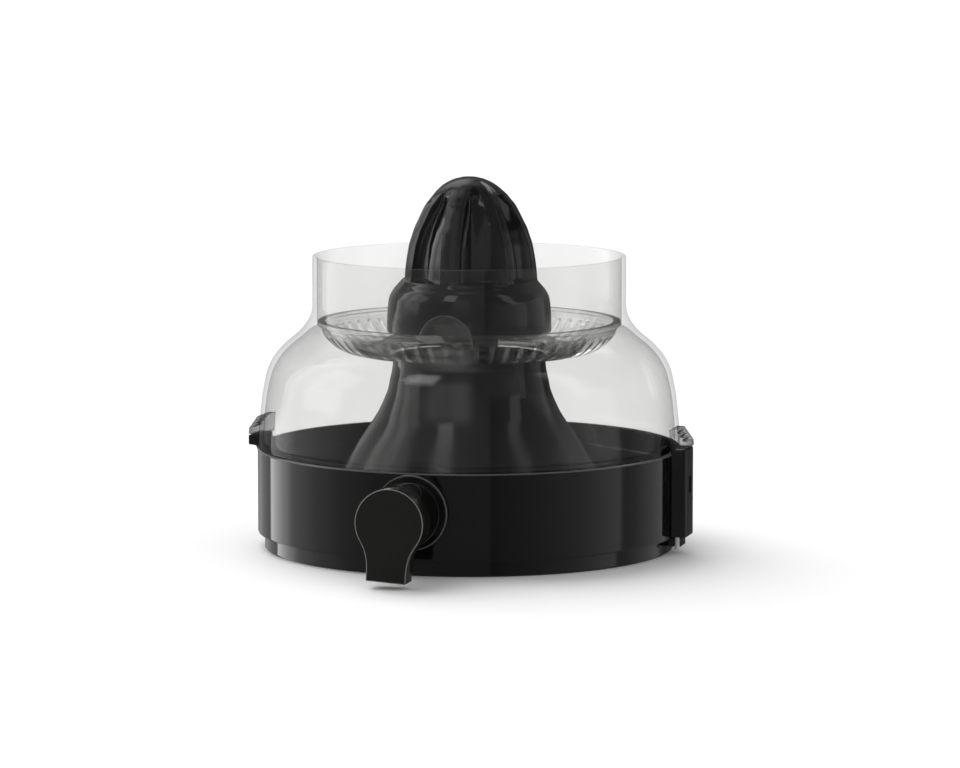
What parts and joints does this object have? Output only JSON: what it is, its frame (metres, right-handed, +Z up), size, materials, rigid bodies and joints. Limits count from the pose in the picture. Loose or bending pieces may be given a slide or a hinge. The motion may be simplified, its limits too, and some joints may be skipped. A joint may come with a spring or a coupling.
{
  "type": "citrus press juicer",
  "caption": "Round citrus press unit with a fluted cone over a clear cover and strainer, a gear tower in a juice collector, and a side spout with a keyhole drip-stop lever.",
  "frame": {"origin": "drive axis at the plane of the plinth's underside", "axes": "+Z up along the drive axis, -Y towards the spout, +X towards the interlock bracket"},
  "size_m": [0.2174, 0.2408, 0.1779],
  "materials": {
    "gloss_black": "gloss",
    "satin_black": "satin",
    "clear": "clear gloss",
    "steel": "satin",
    "gear": "satin",
    "bronze": "satin",
    "rubber": "matte",
    "white": "satin"
  },
  "bodies": {
    "housing": {"juice_collector": "gloss_black", "plinth_ring": "gloss_black", "plinth_screw_1": "steel", "plinth_screw_2": "steel", "plinth_screw_3": "steel", "gear_tower": "gloss_black", "tower_gasket": "rubber", "tower_base_plate": "satin_black", "tower_screw_1": "steel", "tower_screw_2": "steel", "tower_screw_3": "steel", "ring_gear": "gear", "gearbox_lid": "gear", "gearbox_screw_1": "steel", "gearbox_screw_2": "steel", "gearbox_screw_3": "steel", "output_bush": "bronze", "shaft_seal": "rubber", "input_bush_upper": "bronze", "input_bush_lower": "bronze", "spout_seal": "rubber", "interlock_bracket": "gloss_black", "interlock_spring": "steel"},
    "output": {"carrier_2": "gear", "planet_pin_2a": "steel", "planet_pin_2b": "steel", "planet_pin_2c": "steel", "output_shaft": "steel"},
    "first_carrier": {"carrier_1": "gear", "planet_pin_1a": "steel", "planet_pin_1b": "steel", "planet_pin_1c": "steel"},
    "input": {"input_sun_shaft": "steel", "drive_coupling": "satin_black"},
    "reaming_cone": {"reamer": "gloss_black", "reamer_hub": "white"},
    "cover": {"clear_cover": "clear"},
    "strainer_dish": {"strainer": "clear"},
    "drip_stop": {"spout_lever": "gloss_black"},
    "push_rod": {"interlock_rod": "white"},
    "planet_1a": {"planet_gear_1a": "gear"},
    "planet_1b": {"planet_gear_1b": "gear"},
    "planet_1c": {"planet_gear_1c": "gear"},
    "planet_2a": {"planet_gear_2a": "gear"},
    "planet_2b": {"planet_gear_2b": "gear"},
    "planet_2c": {"planet_gear_2c": "gear"}
  },
  "joints": [
    {"name": "output_spin", "type": "hinge", "parent": "housing", "child": "output", "pos_m": [0, 0, 0.09], "axis": [0, 0, 1], "continuous": true},
    {"name": "first_carrier_spin", "type": "hinge", "parent": "housing", "child": "first_carrier", "pos_m": [0, 0, 0.06], "axis": [0, 0, 1], "continuous": true},
    {"name": "input_spin", "type": "hinge", "parent": "housing", "child": "input", "pos_m": [0, 0, 0.02], "axis": [0, 0, 1], "continuous": true},
    {"name": "planet_1a_spin", "type": "hinge", "parent": "first_carrier", "child": "planet_1a", "pos_m": [0.0168, 0, 0.056], "axis": [0, 0, 1], "continuous": true},
    {"name": "planet_2a_spin", "type": "hinge", "parent": "output", "child": "planet_2a", "pos_m": [0.0168, 0, 0.0682], "axis": [0, 0, 1], "continuous": true},
    {"name": "planet_1b_spin", "type": "hinge", "parent": "first_carrier", "child": "planet_1b", "pos_m": [-0.0084, 0.01455, 0.056], "axis": [0, 0, 1], "continuous": true},
    {"name": "planet_2b_spin", "type": "hinge", "parent": "output", "child": "planet_2b", "pos_m": [-0.0084, 0.01455, 0.0682], "axis": [0, 0, 1], "continuous": true},
    {"name": "planet_1c_spin", "type": "hinge", "parent": "first_carrier", "child": "planet_1c", "pos_m": [-0.0084, -0.01455, 0.056], "axis": [0, 0, 1], "continuous": true},
    {"name": "planet_2c_spin", "type": "hinge", "parent": "output", "child": "planet_2c", "pos_m": [-0.0084, -0.01455, 0.0682], "axis": [0, 0, 1], "continuous": true},
    {"name": "reamer_lift", "type": "slide", "parent": "output", "child": "reaming_cone", "axis": [0, 0, 1], "range_m": [0, 0.06]},
    {"name": "cover_lift", "type": "slide", "parent": "housing", "child": "cover", "axis": [0, 0, 1], "range_m": [0, 0.145]},
    {"name": "strainer_lift", "type": "slide", "parent": "cover", "child": "strainer_dish", "axis": [0, 0, 1], "range_m": [0, 0.055]},
    {"name": "drip_stop_turn", "type": "hinge", "parent": "housing", "child": "drip_stop", "pos_m": [0, -0.12, 0.0302], "axis": [0, -1, 0], "range_deg": [0, 90]},
    {"name": "interlock_push", "type": "slide", "parent": "housing", "child": "push_rod", "axis": [0, 0, 1], "range_m": [-0.0025, 0], "stiffness_N_per_m": 150, "springref_m": 0.004, "deforming": ["interlock_spring"]}
  ],
  "couplings": [
    {"joint": "first_carrier_spin", "follows": "output_spin", "ratio": 4.6667},
    {"joint": "input_spin", "follows": "output_spin", "ratio": 21.778},
    {"joint": "planet_1a_spin", "follows": "output_spin", "ratio": -12.833},
    {"joint": "planet_2a_spin", "follows": "output_spin", "ratio": -2.75},
    {"joint": "planet_1b_spin", "follows": "output_spin", "ratio": -12.833},
    {"joint": "planet_2b_spin", "follows": "output_spin", "ratio": -2.75},
    {"joint": "planet_1c_spin", "follows": "output_spin", "ratio": -12.833},
    {"joint": "planet_2c_spin", "follows": "output_spin", "ratio": -2.75}
  ]
}
